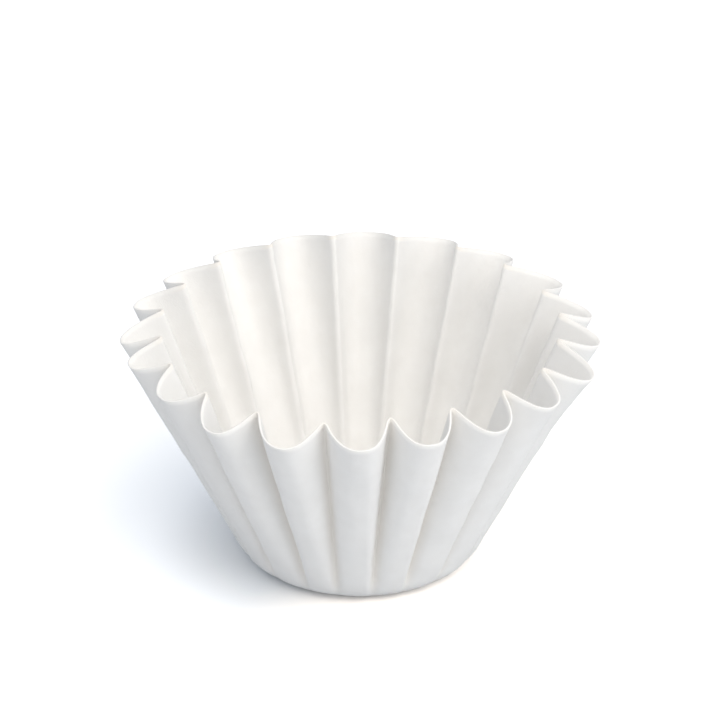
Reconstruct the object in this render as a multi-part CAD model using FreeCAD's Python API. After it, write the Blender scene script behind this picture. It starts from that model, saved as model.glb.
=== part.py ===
# Paper coffee filter: a disc of filter paper pressed into a flat-bottomed cup with waved sides.
#
# Units are millimetres. The axis of the cup is Z, the origin is the centre of the underside,
# and +Z points up out of the mouth. The first crest lies on the -Y side, which is the front.
#
# The crests of the waves follow one line in the plane of radius and height: out along the flat
# base, round its edge and straight up the leaning wall. Between two crests the sheet swings
# inwards and up to a valley, in a soft fold with a narrow pressed crease at its bottom. Paper
# doesn't stretch, so the waves begin at the rounded edge, where the disc first has more paper
# than the cup has room for, and grow towards the rim. There the crests end lower than the valleys.

import FreeCAD
import Part
import math
import os

SIZES = [
    ("paper", 0.4, "thickness of the sheet"),
    ("flat_radius", 21.0, "radius of the flat part of the underside"),
    ("corner_radius", 8.0, "radius of the rounded edge between base and crests"),
    ("wall_lean", 26.4, "lean of the crests from upright, in degrees"),
    ("wall_length", 53.6, "straight length of a crest above the rounded edge"),
    ("waves", 20, "number of waves round the side"),
    ("rim_depth", 9.1, "depth of a wave at the rim, from crest to valley"),
    ("fade_power", 0.9, "how the waves die away towards the base: 1 is evenly"),
    ("fade_start", 2.5, "distance from the flat base at which the waves begin"),
    ("fade_length", 10.5, "distance over which they come up to their full depth"),
    ("wave_tilt", 0.8, "tilt of a wave from crest to valley: 1 is square to the wall"),
    ("crest_spread", 0.42, "how far a crest widens at the cost of its valleys: 0 is not at all"),
    ("rim_fold", 1.2, "how much tighter a valley is folded than a crest at the rim: 1 is alike"),
    ("base_fold", 2.0, "the same at the base"),
    ("crease_fold", 9.0, "the same for the crease at the bottom of a valley"),
    ("rim_crease", 0.12, "share of a valley's depth that lies in its crease at the rim"),
    ("base_crease", 0.6, "the same at the base"),
    ("flare_power", 5.0, "how close to the rim a crest's flare stays: 1 is evenly up the wall"),
]

doc = FreeCAD.newDocument("paper_filter")
sheet = doc.addObject("Spreadsheet::Sheet", "sizes")
for row, (alias, value, note) in enumerate(SIZES, start=1):
    sheet.set("A%d" % row, note)
    sheet.set("B%d" % row, str(value))
    sheet.setAlias("B%d" % row, alias)
doc.recompute()

paper = sheet.get("paper")
flat_radius = sheet.get("flat_radius")
corner_radius = sheet.get("corner_radius")
wall_lean = math.radians(sheet.get("wall_lean"))
wall_length = sheet.get("wall_length")
waves = int(sheet.get("waves"))
rim_depth = sheet.get("rim_depth")
fade_power = sheet.get("fade_power")
wave_tilt = sheet.get("wave_tilt")
fade_start = sheet.get("fade_start")
fade_length = sheet.get("fade_length")
crest_spread = sheet.get("crest_spread")
rim_fold = sheet.get("rim_fold")
base_fold = sheet.get("base_fold")
crease_fold = sheet.get("crease_fold")
rim_crease = sheet.get("rim_crease")
base_crease = sheet.get("base_crease")
flare_power = sheet.get("flare_power")

# No two waves of a pressed sheet are alike. Beginning at the front and going round to the right,
# the turns move each crest, and the valley after it, away from even spacing, in degrees. The twist
# is what a valley turns further by the time it comes down to the base. The reaches are how far
# the crest, and the valley after it, stand out at the rim, in millimetres, and the flare is what
# a crest bends out further close to the rim.
CREST_TURN = [0.5, -1.0, -1.0, -1.5, -2.0, -3.0, -6.0, -5.0, -3.5, -3.5,
              -1.5, -0.5, 1.0, 2.5, 0.5, 2.0, -2.5, -1.5, 0.0, -0.5]
VALLEY_TURN = [-0.5, -0.5, -0.5, -0.5, -1.0, -2.5, -5.5, -4.0, -3.5, -2.5,
               -1.0, 0.5, 2.0, 1.5, 0.5, -0.5, -2.5, -1.5, -1.5, -0.5]
VALLEY_TWIST = [-2.5, -5.0, -5.0, -3.0, -1.0, 1.5, 0.0, -1.0, 1.0, 1.5,
                -0.5, -1.5, 0.5, 1.0, -1.0, 0.0, 1.5, 2.0, 3.5, -1.0]
CREST_REACH = [-0.6, -0.6, 0.0, -0.4, -0.5, 0.0, 0.7, 0.2, -0.3, 0.4,
               -0.2, 0.3, -0.4, 0.2, 0.8, 0.4, -0.3, -1.0, 0.9, 0.6]
CREST_FLARE = [0.2, 0.0, 0.1, 0.6, 2.2, 0.8, 0.0, 0.4, 0.6, 0.1,
               0.0, 0.2, 0.5, 0.3, -0.1, 0.1, 0.1, 0.3, 0.0, 0.1]
VALLEY_REACH = [0.0, 0.0, 0.0, 1.0, 0.4, 1.2, 0.8, 0.2, 0.9, 0.0,
                0.6, 1.1, 0.3, 0.0, 0.8, 0.4, 1.0, 1.7, 1.7, 1.6]

# The skins are made of flat facets: this many along a wave, round the corner and up the wall.
WAVE_FACETS = 12
CORNER_FACETS = 4
WALL_FACETS = 5

wall_rise = math.pi / 2 - wall_lean
corner_length = corner_radius * wall_rise
rim_run = corner_length + wall_length


def crest_line(run):
    """Radius, height and rise of the crest line at a distance run from the flat base."""
    rise = min(run / corner_radius, wall_rise)
    along = max(run - corner_length, 0.0)
    radius = flat_radius + corner_radius * math.sin(rise) + along * math.cos(rise)
    height = corner_radius * (1 - math.cos(rise)) + along * math.sin(rise)
    return radius, height, rise


def eased(share):
    """From 0 to 1 with a soft start and end."""
    share = min(max(share, 0.0), 1.0)
    return share * share * (3 - 2 * share)


def blend(first, second, share):
    """A value at a share of the way from the first to the second."""
    return first + (second - first) * share


def unevenness(share, wave, phase):
    """Turn, in radians, and reach of a point at a share of the way up and a phase of one wave."""
    crest = (wave if phase <= math.pi else wave + 1) % len(CREST_TURN)
    valley = wave % len(VALLEY_TURN)
    valley_turn = VALLEY_TURN[valley] + VALLEY_TWIST[valley] * (1 - share)
    near_crest = math.cos(phase / 2) ** 2
    turn = blend(valley_turn, CREST_TURN[crest], near_crest)
    crest_reach = CREST_REACH[crest] + CREST_FLARE[crest] * share ** flare_power
    reach = crest_reach * near_crest + VALLEY_REACH[valley] * (1 - near_crest) ** 2
    return math.radians(turn), reach


def fold_depth(share, phase):
    """How far a point lies in towards the valley: 0 on the crest and 1 on the valley line."""
    swing = abs(math.sin(phase / 2))
    soft = swing ** (2 * blend(base_fold, rim_fold, share))
    return blend(soft, swing ** (2 * crease_fold), blend(base_crease, rim_crease, share))


def outer_point(run, wave, phase):
    """Point of the outer skin, at a distance run from the flat base and a phase of one wave."""
    radius, height, rise = crest_line(run)
    share = max(run, 0.0) / rim_run
    turn, reach = unevenness(share, wave, phase)
    strength = share ** fade_power * eased((run - fade_start) / fade_length)
    inward = strength * (rim_depth * fold_depth(share, phase) - reach)
    climb = wave_tilt * (math.pi / 2 - rise)
    radius -= inward * math.cos(climb)
    height += inward * math.sin(climb)
    spread = strength * crest_spread * math.sin(phase)
    angle = (2 * math.pi * wave + phase + spread) / waves + turn
    return FreeCAD.Vector(radius * math.sin(angle), -radius * math.cos(angle), height)


def inner_point(run, wave, phase):
    """Point of the inner skin, one thickness of paper square to the outer skin."""
    if run <= 0:
        return outer_point(run, wave, phase) + FreeCAD.Vector(0, 0, paper)
    step = 0.01
    up_wall = outer_point(run + step, wave, phase) - outer_point(run - step, wave, phase)
    along_wave = outer_point(run, wave, phase + step) - outer_point(run, wave, phase - step)
    inward = up_wall.cross(along_wave).normalize()
    if inward.dot(outer_point(run, wave, phase)) > 0:
        inward = -inward
    return outer_point(run, wave, phase) + inward * paper


def levels():
    """Distances from the flat base at which the skins have a ring of points."""
    corner = [corner_length * step / CORNER_FACETS for step in range(CORNER_FACETS)]
    wall = [corner_length + wall_length * step / WALL_FACETS for step in range(WALL_FACETS + 1)]
    return corner + wall


def ring(point_at, run):
    """Points of one skin round the sheet, at one distance from the flat base."""
    return [
        point_at(run, wave, 2 * math.pi * facet / WAVE_FACETS)
        for wave in range(waves)
        for facet in range(WAVE_FACETS)
    ]


def band(lower, upper):
    """Flat facets between two rings of points."""
    facets = []
    for here in range(len(lower)):
        there = (here + 1) % len(lower)
        facets.append((lower[here], lower[there], upper[there]))
        facets.append((lower[here], upper[there], upper[here]))
    return facets


def flat_face(corners):
    return Part.Face(Part.makePolygon(list(corners) + [corners[0]]))


def filter_solid():
    """The pressed sheet: two skins joined by the cut edge at the rim, closed by the flat base."""
    outer_rings = [ring(outer_point, run) for run in levels()]
    inner_rings = [ring(inner_point, run) for run in levels()]
    facets = []
    for rings in (outer_rings, inner_rings):
        for lower, upper in zip(rings, rings[1:]):
            facets += band(lower, upper)
    facets += band(outer_rings[-1], inner_rings[-1])
    facets += [outer_rings[0], inner_rings[0]]
    skins = Part.makeCompound([flat_face(corners) for corners in facets])
    skins.sewShape()
    return Part.makeSolid(skins.Shells[0])


paper_filter = doc.addObject("Part::Feature", "paper_filter")
paper_filter.Label = "paper_filter"
paper_filter.Shape = filter_solid()
paper_filter.Placement = FreeCAD.Placement()
doc.recompute()

for item in doc.Objects:
    if "Invalid" in item.State or "Error" in item.State:
        raise RuntimeError("%s did not build: %s" % (item.Label, item.State))
for item in [paper_filter]:
    if item.Shape.isNull() or not item.Shape.isValid():
        raise RuntimeError("%s has no valid shape" % item.Label)

os.makedirs("parts", exist_ok=True)
paper_filter.Shape.exportStep("parts/paper_filter.step")
box = paper_filter.Shape.BoundBox
print("size %.2f x %.2f x %.2f mm" % (box.XLength, box.YLength, box.ZLength))
print("volume %.0f cubic mm, %d faces" % (paper_filter.Shape.Volume, len(paper_filter.Shape.Faces)))
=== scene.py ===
"""A paper coffee filter: one disc of bleached filter paper, pressed into a cup with waved sides.

Lengths are in metres. The cup stands on the floor at the origin with its mouth up, and -Y is the
side towards the camera. The sheet has the same form as the solid that it stands for, on a finer
mesh, with the small unevenness of pressed paper added.
"""

import math

import bmesh
import bpy
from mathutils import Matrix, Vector, noise


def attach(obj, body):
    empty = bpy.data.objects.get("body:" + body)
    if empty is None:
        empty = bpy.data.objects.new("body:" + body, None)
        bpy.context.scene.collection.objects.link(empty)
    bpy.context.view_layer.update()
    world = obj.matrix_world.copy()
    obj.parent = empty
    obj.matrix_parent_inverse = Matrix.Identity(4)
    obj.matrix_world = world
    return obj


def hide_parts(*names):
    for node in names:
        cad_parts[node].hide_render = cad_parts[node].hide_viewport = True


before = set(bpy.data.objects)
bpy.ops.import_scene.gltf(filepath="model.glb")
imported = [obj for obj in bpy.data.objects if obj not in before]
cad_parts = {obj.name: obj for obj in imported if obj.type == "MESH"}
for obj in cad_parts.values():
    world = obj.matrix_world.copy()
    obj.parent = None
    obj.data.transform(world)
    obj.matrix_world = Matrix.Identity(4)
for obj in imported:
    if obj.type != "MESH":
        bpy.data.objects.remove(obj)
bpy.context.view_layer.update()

MM = 0.001

# Sizes of the sheet, as in the solid: its thickness, its flat base, the rounded edge and the lean
# and length of the crests
PAPER = 0.4 * MM
FLAT_RADIUS = 21.0 * MM
CORNER_RADIUS = 8.0 * MM
WALL_LEAN = math.radians(26.4)
WALL_LENGTH = 53.6 * MM

# The waves: their number and depth at the rim, how they die away towards the base, how they tilt
# and widen, and how tight the fold and the pressed crease of a valley are
WAVES = 20
RIM_DEPTH = 9.1 * MM
FADE_POWER = 0.9
FADE_START = 2.5 * MM
FADE_LENGTH = 10.5 * MM
WAVE_TILT = 0.8
CREST_SPREAD = 0.42
RIM_FOLD = 1.2
BASE_FOLD = 2.0
CREASE_FOLD = 9.0
RIM_CREASE = 0.12
BASE_CREASE = 0.6
FLARE_POWER = 5.0

# Unevenness of the waves, as in the solid, beginning at the front and going round to the right.
# The turns move each crest, and the valley after it, away from even spacing, in degrees, and the
# twist is what a valley turns further by the time it comes down to the base. The reaches are how
# far the crest, and the valley after it, stand out at the rim, in millimetres, and the flare is
# what a crest bends out further close to the rim.
CREST_TURN = [0.5, -1.0, -1.0, -1.5, -2.0, -3.0, -6.0, -5.0, -3.5, -3.5,
              -1.5, -0.5, 1.0, 2.5, 0.5, 2.0, -2.5, -1.5, 0.0, -0.5]
VALLEY_TURN = [-0.5, -0.5, -0.5, -0.5, -1.0, -2.5, -5.5, -4.0, -3.5, -2.5,
               -1.0, 0.5, 2.0, 1.5, 0.5, -0.5, -2.5, -1.5, -1.5, -0.5]
VALLEY_TWIST = [-2.5, -5.0, -5.0, -3.0, -1.0, 1.5, 0.0, -1.0, 1.0, 1.5,
                -0.5, -1.5, 0.5, 1.0, -1.0, 0.0, 1.5, 2.0, 3.5, -1.0]
CREST_REACH = [-0.6, -0.6, 0.0, -0.4, -0.5, 0.0, 0.7, 0.2, -0.3, 0.4,
               -0.2, 0.3, -0.4, 0.2, 0.8, 0.4, -0.3, -1.0, 0.9, 0.6]
CREST_FLARE = [0.2, 0.0, 0.1, 0.6, 2.2, 0.8, 0.0, 0.4, 0.6, 0.1,
               0.0, 0.2, 0.5, 0.3, -0.1, 0.1, 0.1, 0.3, 0.0, 0.1]
VALLEY_REACH = [0.0, 0.0, 0.0, 1.0, 0.4, 1.2, 0.8, 0.2, 0.9, 0.0,
                0.6, 1.1, 0.3, 0.0, 0.8, 0.4, 1.0, 1.7, 1.7, 1.6]

# Dents that handling leaves in the sheet, as pairs of width and depth, and the distance from the
# flat base over which they come up to their full depth
DENTS = [(9.0 * MM, 0.30 * MM), (2.8 * MM, 0.09 * MM)]
DENT_FADE = 14.0 * MM

WALL_RISE = math.pi / 2 - WALL_LEAN
CORNER_LENGTH = CORNER_RADIUS * WALL_RISE
RIM_RUN = CORNER_LENGTH + WALL_LENGTH

# Mesh: points round the sheet, and rings across the base, round its edge and up the wall
ROUND_STEPS = WAVES * 32
BASE_RINGS = 6
CORNER_RINGS = 10
WALL_RINGS = 40


def linear(hex_colour, brightness=1.0):
    """A colour written as sRGB hex, turned to the linear values that a shader takes."""
    channels = [int(hex_colour[at:at + 2], 16) / 255 for at in (1, 3, 5)]
    values = [c / 12.92 if c <= 0.04045 else ((c + 0.055) / 1.055) ** 2.4 for c in channels]
    return [value * brightness for value in values] + [1.0]


def eased(share):
    """From 0 to 1 with a soft start and end."""
    share = min(max(share, 0.0), 1.0)
    return share * share * (3 - 2 * share)


def blend(first, second, share):
    """A value at a share of the way from the first to the second."""
    return first + (second - first) * share


def crest_line(run):
    """Radius, height and rise of the crest line at a distance run from the flat base."""
    if run <= 0:
        return FLAT_RADIUS + run, 0.0, 0.0
    rise = min(run / CORNER_RADIUS, WALL_RISE)
    along = max(run - CORNER_LENGTH, 0.0)
    radius = FLAT_RADIUS + CORNER_RADIUS * math.sin(rise) + along * math.cos(rise)
    height = CORNER_RADIUS * (1 - math.cos(rise)) + along * math.sin(rise)
    return radius, height, rise


def unevenness(share, wave, phase):
    """Turn, in radians, and reach of a point at a share of the way up and a phase of one wave."""
    crest = (wave if phase <= math.pi else wave + 1) % WAVES
    valley = wave % WAVES
    valley_turn = VALLEY_TURN[valley] + VALLEY_TWIST[valley] * (1 - share)
    near_crest = math.cos(phase / 2) ** 2
    turn = blend(valley_turn, CREST_TURN[crest], near_crest)
    crest_reach = CREST_REACH[crest] + CREST_FLARE[crest] * share ** FLARE_POWER
    reach = crest_reach * near_crest + VALLEY_REACH[valley] * (1 - near_crest) ** 2
    return math.radians(turn), reach * MM


def wave_rise(run):
    """From 0 to 1 as the waves come up at a distance run from the flat base."""
    return eased((run - FADE_START) / FADE_LENGTH)


def fold_depth(share, phase):
    """How far a point lies in towards the valley: 0 on the crest and 1 on the valley line."""
    swing = abs(math.sin(phase / 2))
    soft = swing ** (2 * blend(BASE_FOLD, RIM_FOLD, share))
    return blend(soft, swing ** (2 * CREASE_FOLD), blend(BASE_CREASE, RIM_CREASE, share))


def on_flat_disc(run, round_share):
    """Place of a point on the flat disc that the sheet was pressed from."""
    span = FLAT_RADIUS + run
    angle = 2 * math.pi * round_share
    return Vector((span * math.sin(angle), -span * math.cos(angle), 0))


def dent(run, round_share):
    """Depth of the shallow dents at a point of the sheet: none on the flat base."""
    place = on_flat_disc(run, round_share)
    depths = [depth * noise.noise(place / size) for size, depth in DENTS]
    return eased(run / DENT_FADE) * sum(depths)


def sheet_point(run, round_share):
    """Point of the outer skin at a distance run from the flat base and a share of the way round."""
    wave = int(round_share * WAVES)
    phase = 2 * math.pi * (round_share * WAVES - wave)
    radius, height, rise = crest_line(run)
    share = max(run, 0.0) / RIM_RUN
    turn, reach = unevenness(share, wave, phase)
    strength = share ** FADE_POWER * wave_rise(run)
    inward = strength * (RIM_DEPTH * fold_depth(share, phase) - reach) + dent(run, round_share)
    climb = WAVE_TILT * (math.pi / 2 - rise)
    radius -= inward * math.cos(climb)
    height += inward * math.sin(climb)
    spread = strength * CREST_SPREAD * math.sin(phase)
    angle = (2 * math.pi * wave + phase + spread) / WAVES + turn
    return Vector((radius * math.sin(angle), -radius * math.cos(angle), height))


def pressed_fold(run, round_share):
    """How tightly the sheet is folded at a point: 1 along the bottom of a valley."""
    swing = abs(math.sin(math.pi * round_share * WAVES))
    return swing ** (2 * CREASE_FOLD) * wave_rise(run)


def ring_runs():
    """Distances from the edge of the flat base at which the sheet has a ring of points."""
    base = [-FLAT_RADIUS * (1 - (ring + 1) / BASE_RINGS) for ring in range(BASE_RINGS)]
    corner = [CORNER_LENGTH * (ring + 1) / CORNER_RINGS for ring in range(CORNER_RINGS)]
    wall = [CORNER_LENGTH + WALL_LENGTH * (ring + 1) / WALL_RINGS for ring in range(WALL_RINGS)]
    return base + corner + wall


def draw_rings(sheet, run_at, share_at):
    """A small disc, drawn outwards ring by ring. Each point keeps its run and share of the way."""
    runs = ring_runs()
    first_radius = FLAT_RADIUS + runs[0]
    bmesh.ops.create_circle(sheet, cap_ends=True, cap_tris=True, segments=ROUND_STEPS,
                            radius=first_radius)
    for vert in sheet.verts:
        if vert.co.length < first_radius / 2:
            vert[run_at] = -FLAT_RADIUS
            continue
        share = math.atan2(vert.co.x, -vert.co.y) / (2 * math.pi)
        vert[share_at] = round(share * ROUND_STEPS) % ROUND_STEPS / ROUND_STEPS
        vert[run_at] = runs[0]
    for run in runs[1:]:
        edge = [e for e in sheet.edges if e.is_boundary]
        drawn = bmesh.ops.extrude_edge_only(sheet, edges=edge)["geom"]
        for vert in drawn:
            if isinstance(vert, bmesh.types.BMVert):
                vert[run_at] = run


def filter_sheet():
    """The pressed sheet: rings of points set to their places in the cup, given the thickness."""
    sheet = bmesh.new()
    share_at = sheet.verts.layers.float.new("round_share")
    run_at = sheet.verts.layers.float.new("run")
    fold_at = sheet.verts.layers.float.new("fold")
    draw_rings(sheet, run_at, share_at)
    for vert in sheet.verts:
        vert.co = sheet_point(vert[run_at], vert[share_at])
        vert[fold_at] = pressed_fold(vert[run_at], vert[share_at])
    bmesh.ops.recalc_face_normals(sheet, faces=sheet.faces)
    flat_at = sheet.loops.layers.uv.new("flat_disc")
    for face in sheet.faces:
        face.smooth = True
        for loop in face.loops:
            loop[flat_at].uv = on_flat_disc(loop.vert[run_at], loop.vert[share_at]).xy
    mesh = bpy.data.meshes.new("filter_sheet")
    sheet.to_mesh(mesh)
    sheet.free()
    piece = bpy.data.objects.new("filter_sheet", mesh)
    bpy.context.scene.collection.objects.link(piece)
    wall = piece.modifiers.new("paper", "SOLIDIFY")
    wall.thickness = PAPER
    wall.offset = -1
    wall.use_even_offset = True
    return piece


def add_node(tree, kind, settings=None, links=None):
    """Adds a node: settings are its properties or socket values, links its sockets' sources.

    Sockets go by name, or by number where a name isn't unique. In a Mix node for colours the
    factor is input 0, the colours are inputs 6 and 7, and the result is output 2.
    """
    node = tree.nodes.new(kind)
    for name, value in (settings or {}).items():
        if isinstance(name, int) or name in node.inputs:
            node.inputs[name].default_value = value
        else:
            setattr(node, name, value)
    for name, source in (links or {}).items():
        tree.links.new(source, node.inputs[name])
    return node


def empty_tree(owner):
    """The node tree of a material or world, with nothing in it."""
    owner.use_nodes = True
    owner.node_tree.nodes.clear()
    return owner.node_tree


# The paper: white with faint clouds, and painted warm shade at the bottom of a fold
PAPER_DULL = linear("#F2F1EF")
PAPER_BRIGHT = linear("#F8F8F7")
CLOUD_SIZE = 4.0 * MM
FOLD_SHADE_TONE = linear("#F2E6D4")
FOLD_SHADE_SHARE = 0.25

# Its felted fibres, which lie at all angles, and the grain between them. Real fibres are about
# 0.03 mm wide, too fine to show here, so they are drawn 0.2 mm wide, with a grain to match.
FIBRE_LENGTH = 1.2 * MM
FIBRE_WIDTH = 0.2 * MM
FIBRE_ANGLES = (10, 55, 100, 145)
GRAIN_SIZE = 0.5 * MM
GRAIN_DEPTH = 0.12 * MM
GRAIN_STRENGTH = 0.8

# How much of the light goes through the sheet, and its tone on the way
SHEERNESS = 0.1
THROUGH_TONE = linear("#FDFAF4")


def clouded_white(tree, flat):
    """The colour of the sheet, a little duller in places, as its fibres lie closer or looser."""
    clouds = add_node(tree, "ShaderNodeTexNoise", {"Scale": 1 / CLOUD_SIZE, "Detail": 3.0},
                      {"Vector": flat})
    white = add_node(tree, "ShaderNodeMix", {"data_type": "RGBA", 6: PAPER_DULL, 7: PAPER_BRIGHT},
                     {0: clouds.outputs["Fac"]})
    return white.outputs[2]


def shaded_in_folds(tree, white):
    """The same colour, with painted warm shade down in the pressed folds of the outer side."""
    fold = add_node(tree, "ShaderNodeAttribute", {"attribute_name": "fold"})
    place = add_node(tree, "ShaderNodeTexCoord")
    facing = add_node(tree, "ShaderNodeVectorMath", {"operation": "DOT_PRODUCT"},
                      {0: place.outputs["Object"], 1: place.outputs["Normal"]})
    outside = add_node(tree, "ShaderNodeMath", {"operation": "GREATER_THAN", 1: 0.0},
                       {0: facing.outputs["Value"]})
    # Painted shade: the outer side is darkened and warmed along the bottom of each valley
    share = add_node(tree, "ShaderNodeMath", {"operation": "MULTIPLY", 1: FOLD_SHADE_SHARE},
                     {0: fold.outputs["Fac"]})
    fold_shade = add_node(tree, "ShaderNodeMath", {"operation": "MULTIPLY"},
                      {0: share.outputs[0], 1: outside.outputs[0]})
    paper = add_node(tree, "ShaderNodeMix", {"data_type": "RGBA", 7: FOLD_SHADE_TONE},
                     {0: fold_shade.outputs[0], 6: white})
    return paper.outputs[2]


def felt_relief(tree, flat):
    """The normal of the sheet's face, raised where a fibre or a grain lies on top."""
    grain = add_node(tree, "ShaderNodeTexNoise", {"Scale": 1 / GRAIN_SIZE, "Detail": 2.0},
                     {"Vector": flat})
    height = grain.outputs["Fac"]
    for angle in FIBRE_ANGLES:
        along = add_node(tree, "ShaderNodeMapping", {
            "Rotation": (0, 0, math.radians(angle)),
            "Scale": (1 / FIBRE_LENGTH, 1 / FIBRE_WIDTH, 1),
        }, {"Vector": flat})
        fibres = add_node(tree, "ShaderNodeTexNoise", {
            "Scale": 1.0, "Detail": 1.0, "Distortion": 0.8,
        }, {"Vector": along.outputs[0]})
        higher = add_node(tree, "ShaderNodeMath", {"operation": "MAXIMUM"},
                          {0: height, 1: fibres.outputs["Fac"]})
        height = higher.outputs[0]
    bump = add_node(tree, "ShaderNodeBump", {"Strength": GRAIN_STRENGTH, "Distance": GRAIN_DEPTH},
                    {"Height": height})
    return bump.outputs[0]


def bleached_filter_paper():
    """Bleached filter paper, felted from long fibres and pressed dry into its folds.

    The eye gets a matt white with the faint cloudiness of felted fibres, a fine grain, and painted
    warm shade down in the pressed folds. The sheet lets some light through, warmed on its way, so
    that shaded walls glow a little.
    """
    material = bpy.data.materials.new("bleached_filter_paper")
    tree = empty_tree(material)
    flat = add_node(tree, "ShaderNodeUVMap", {"uv_map": "flat_disc"}).outputs["UV"]
    colour = shaded_in_folds(tree, clouded_white(tree, flat))
    relief = felt_relief(tree, flat)
    face = add_node(tree, "ShaderNodeBsdfPrincipled", {
        "Roughness": 0.85, "Specular IOR Level": 0.25, "Sheen Weight": 0.1,
    }, {"Base Color": colour, "Normal": relief})
    through = add_node(tree, "ShaderNodeBsdfTranslucent", {"Color": THROUGH_TONE},
                       {"Normal": relief})
    sheet = add_node(tree, "ShaderNodeMixShader", {0: SHEERNESS},
                     {1: face.outputs[0], 2: through.outputs[0]})
    add_node(tree, "ShaderNodeOutputMaterial", None, {"Surface": sheet.outputs[0]})
    return material


# The floor lies just under the cup's base. It lights the cup as the pale grey that it is, and the
# camera sees it bleached towards white: least close to the cup, as painted shade round its foot,
# more further away, and most on the cup's lit side, as painted warm light.
FLOOR_HALF = 6.0
FLOOR_DROP = 0.1 * MM
FLOOR_GREY = linear("#D8DBDF")
FLOOR_PAINTED_SHADE = linear("#F6F9FC")
FLOOR_AWAY = linear("#F8FBFF", 1.28)
FLOOR_PAINTED_LIGHT = linear("#FFF9F3", 1.45)

# Distances from the middle of the cup between which one of those colours turns to the next
CLOSE_TO = 27.0 * MM
AWAY_FROM = 50.0 * MM
LIT_SIDE = (0.8, -0.6, 0.0)
LIT_FROM = -8.0 * MM
LIT_TO = 18.0 * MM

# The even light from all round, and the white that the camera sees behind the floor
FILL_COLOUR = linear("#F1F6FD")
FILL_STRENGTH = 0.66
WHITE = linear("#FFFFFF")


def white_floor():
    """A matt floor: a white ground with the lamps' soft, cool shadow on it, deepened by painted
    shade close to the cup and lifted by painted light on its lit side.
    """
    material = bpy.data.materials.new("white_floor")
    tree = empty_tree(material)
    path = add_node(tree, "ShaderNodeLightPath")
    place = add_node(tree, "ShaderNodeTexCoord")
    span = add_node(tree, "ShaderNodeVectorMath", {"operation": "LENGTH"},
                    {0: place.outputs["Object"]})
    away = add_node(tree, "ShaderNodeMapRange", {
        "interpolation_type": "SMOOTHSTEP", "From Min": CLOSE_TO, "From Max": AWAY_FROM,
    }, {"Value": span.outputs["Value"]})
    # Painted shade: the camera sees the floor darker close to the cup than further away
    shaded = add_node(tree, "ShaderNodeMix", {"data_type": "RGBA", 6: FLOOR_PAINTED_SHADE, 7: FLOOR_AWAY},
                      {0: away.outputs[0]})
    towards = add_node(tree, "ShaderNodeVectorMath", {"operation": "DOT_PRODUCT", 1: LIT_SIDE},
                       {0: place.outputs["Object"]})
    lit = add_node(tree, "ShaderNodeMapRange", {
        "interpolation_type": "SMOOTHSTEP", "From Min": LIT_FROM, "From Max": LIT_TO,
    }, {"Value": towards.outputs["Value"]})
    # Painted light: the camera sees the floor brighter and warmer on the cup's lit side
    seen = add_node(tree, "ShaderNodeMix", {"data_type": "RGBA", 7: FLOOR_PAINTED_LIGHT},
                    {0: lit.outputs[0], 6: shaded.outputs[2]})
    shade = add_node(tree, "ShaderNodeMix", {"data_type": "RGBA", 6: FLOOR_GREY},
                     {0: path.outputs["Is Camera Ray"], 7: seen.outputs[2]})
    matt = add_node(tree, "ShaderNodeBsdfDiffuse", None, {"Color": shade.outputs[2]})
    add_node(tree, "ShaderNodeOutputMaterial", None, {"Surface": matt.outputs[0]})
    return material


def floor():
    """The floor that the cup stands on, which goes on past the view."""
    mesh = bpy.data.meshes.new("floor")
    plane = bmesh.new()
    bmesh.ops.create_grid(plane, x_segments=1, y_segments=1, size=FLOOR_HALF)
    plane.to_mesh(mesh)
    plane.free()
    mesh.materials.append(white_floor())
    ground = bpy.data.objects.new("floor", mesh)
    ground.location.z = -FLOOR_DROP
    bpy.context.scene.collection.objects.link(ground)


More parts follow.
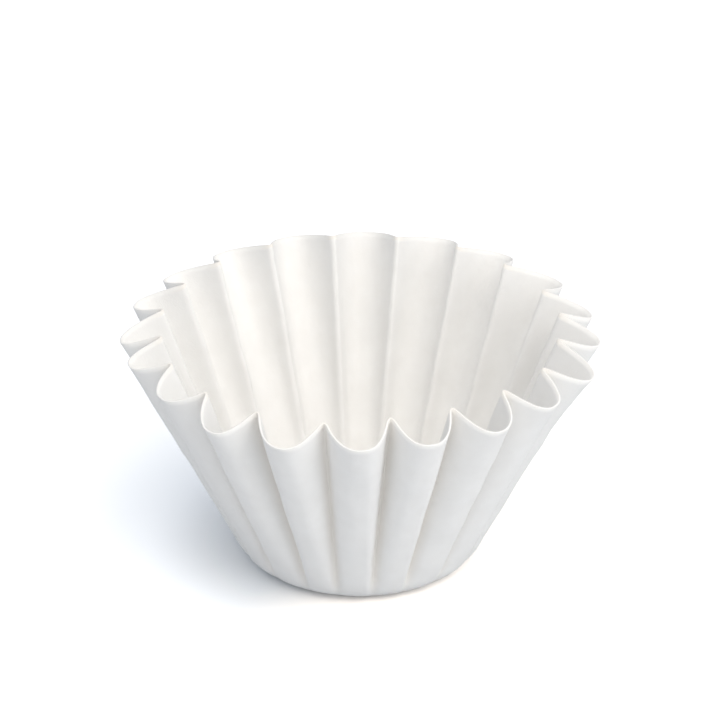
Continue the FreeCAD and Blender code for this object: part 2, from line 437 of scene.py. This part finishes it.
def white_world():
    """An even fill light for the cup, with plain white for the camera."""
    world = bpy.data.worlds.new("world")
    bpy.context.scene.world = world
    tree = empty_tree(world)
    path = add_node(tree, "ShaderNodeLightPath")
    fill = add_node(tree, "ShaderNodeBackground", {"Color": FILL_COLOUR, "Strength": FILL_STRENGTH})
    white = add_node(tree, "ShaderNodeBackground", {"Color": WHITE, "Strength": 1.0})
    seen = add_node(tree, "ShaderNodeMixShader", None,
                    {0: path.outputs["Is Camera Ray"], 1: fill.outputs[0], 2: white.outputs[0]})
    add_node(tree, "ShaderNodeOutputWorld", None, {"Surface": seen.outputs[0]})


# The photograph's view: how far the camera stands from the middle of the cup, how high it looks
# from, and the point that comes to the middle of the picture
CUP_MIDDLE = Vector((0, 0, 0.025))
CAMERA_DISTANCE = 0.8
CAMERA_ELEVATION = math.radians(29.5)
PICTURE_MIDDLE = Vector((-0.0007, 0.0097, 0.0422))
LENS = 181.4
SENSOR_WIDTH = 36.0
NEAREST_SEEN = 0.05


def face_point(item, place, target):
    """Puts a lamp or a camera at a place, facing a point, and into the scene."""
    item.location = place
    item.rotation_mode = "QUATERNION"
    item.rotation_quaternion = (target - Vector(place)).to_track_quat("-Z", "Y")
    bpy.context.scene.collection.objects.link(item)


def soft_light(name, place, width, power, colour):
    """A square lamp of the given width, in metres, and power, in watts, that faces the cup."""
    lamp = bpy.data.lights.new(name, "AREA")
    lamp.size = width
    lamp.energy = power
    lamp.color = linear(colour)[:3]
    face_point(bpy.data.objects.new(name, lamp), place, CUP_MIDDLE)


def camera():
    """The photograph's view of the cup, from in front and above."""
    view = bpy.data.cameras.new("camera")
    view.lens = LENS
    view.sensor_width = SENSOR_WIDTH
    view.clip_start = NEAREST_SEEN
    seat = bpy.data.objects.new("camera", view)
    back = Vector((0, -math.cos(CAMERA_ELEVATION), math.sin(CAMERA_ELEVATION)))
    face_point(seat, CUP_MIDDLE + back * CAMERA_DISTANCE, PICTURE_MIDDLE)
    bpy.context.scene.camera = seat


paper = filter_sheet()
paper.data.materials.append(bleached_filter_paper())
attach(paper, "root")
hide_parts("paper_filter")

floor()
white_world()
soft_light("top", (0.15, -0.4, 1.05), width=1.2, power=8.6, colour="#FFF6EA")
soft_light("key", (0.65, -0.5, 0.5), width=0.9, power=3.0, colour="#FFFDFA")
camera()
bpy.context.scene.view_settings.view_transform = "Standard"
